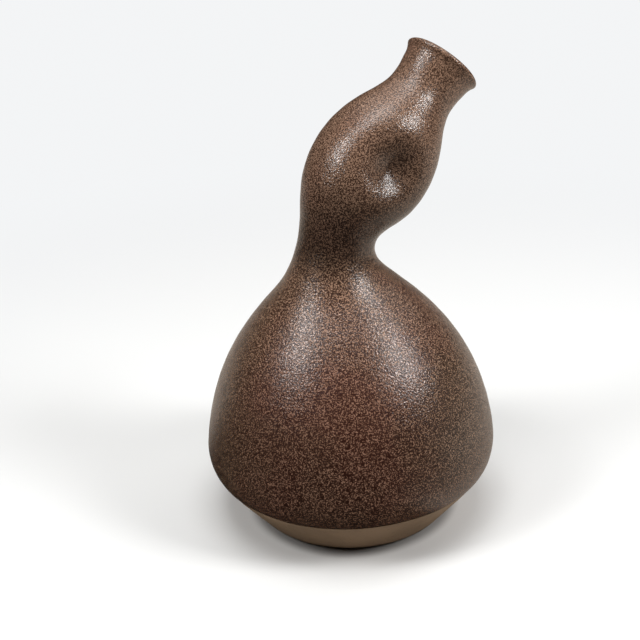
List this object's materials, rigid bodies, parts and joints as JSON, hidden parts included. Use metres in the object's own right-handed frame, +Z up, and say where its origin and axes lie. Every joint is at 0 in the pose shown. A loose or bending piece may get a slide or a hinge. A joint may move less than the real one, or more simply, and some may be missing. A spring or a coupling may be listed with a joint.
{
  "type": "abstract bottle vase",
  "caption": "Stoneware vase with a wide low body, a neck that bends over into a thumb-pressed bulb, and a short flared spout, in speckled brown satin glaze over a bare clay foot.",
  "frame": {"origin": "centre of the standing ring, on the plane that the vase stands on", "axes": "+Z up along the body's axis; -Y is the side seen in the picture; the neck leans over towards +X and +Y, 31 degrees round from +X"},
  "size_m": [0.1361, 0.1361, 0.2182],
  "materials": {
    "bare_clay": "unglazed fired stoneware, smooth and matt",
    "slip": "fired joining slip, matt",
    "speckled_glaze": "satin brown glaze with fine dark specks",
    "liner_glaze": "satin dark brown liner glaze"
  },
  "bodies": {
    "root": {"turned_base": "bare_clay", "shoulder_dome": "bare_clay", "neck_and_lower_bulb": "bare_clay", "upper_bulb": "bare_clay", "flared_spout": "bare_clay", "belly_slip_joint": "slip", "neck_slip_joint": "slip", "bulb_slip_joint": "slip", "spout_slip_joint": "slip", "outer_glaze": "speckled_glaze", "liner_glaze": "liner_glaze"}
  },
  "joints": []
}
